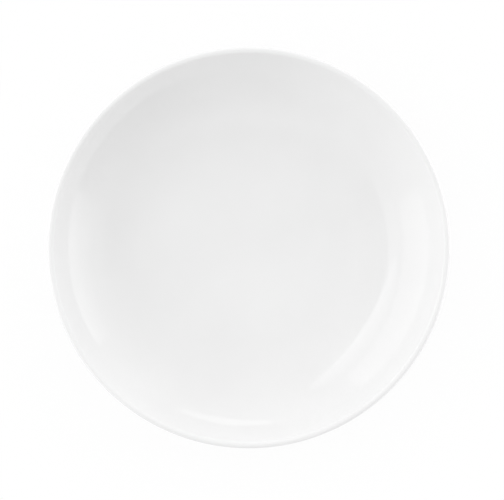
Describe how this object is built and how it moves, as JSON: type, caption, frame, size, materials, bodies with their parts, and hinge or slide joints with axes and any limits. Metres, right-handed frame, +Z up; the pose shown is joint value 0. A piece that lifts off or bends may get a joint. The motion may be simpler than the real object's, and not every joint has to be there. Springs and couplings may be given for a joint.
{
  "type": "deep plate",
  "caption": "Round deep coupe plate in white glazed porcelain: a dished floor, a wall that curves up to a plain rounded lip, and a bare foot ring to stand on.",
  "frame": {"origin": "on the table, at the centre of the foot ring's standing face", "axes": "+Z up along the plate's axis; X and Y lie in the table, and the plate is the same all round"},
  "size_m": [0.22, 0.22, 0.04],
  "materials": {
    "bare_porcelain": "unglazed fired porcelain, ground fine and dull",
    "white_glaze": "gloss white glaze, neutral"
  },
  "bodies": {
    "root": {"porcelain_body": "bare_porcelain", "upper_glaze": "white_glaze", "base_glaze": "white_glaze"}
  },
  "joints": []
}
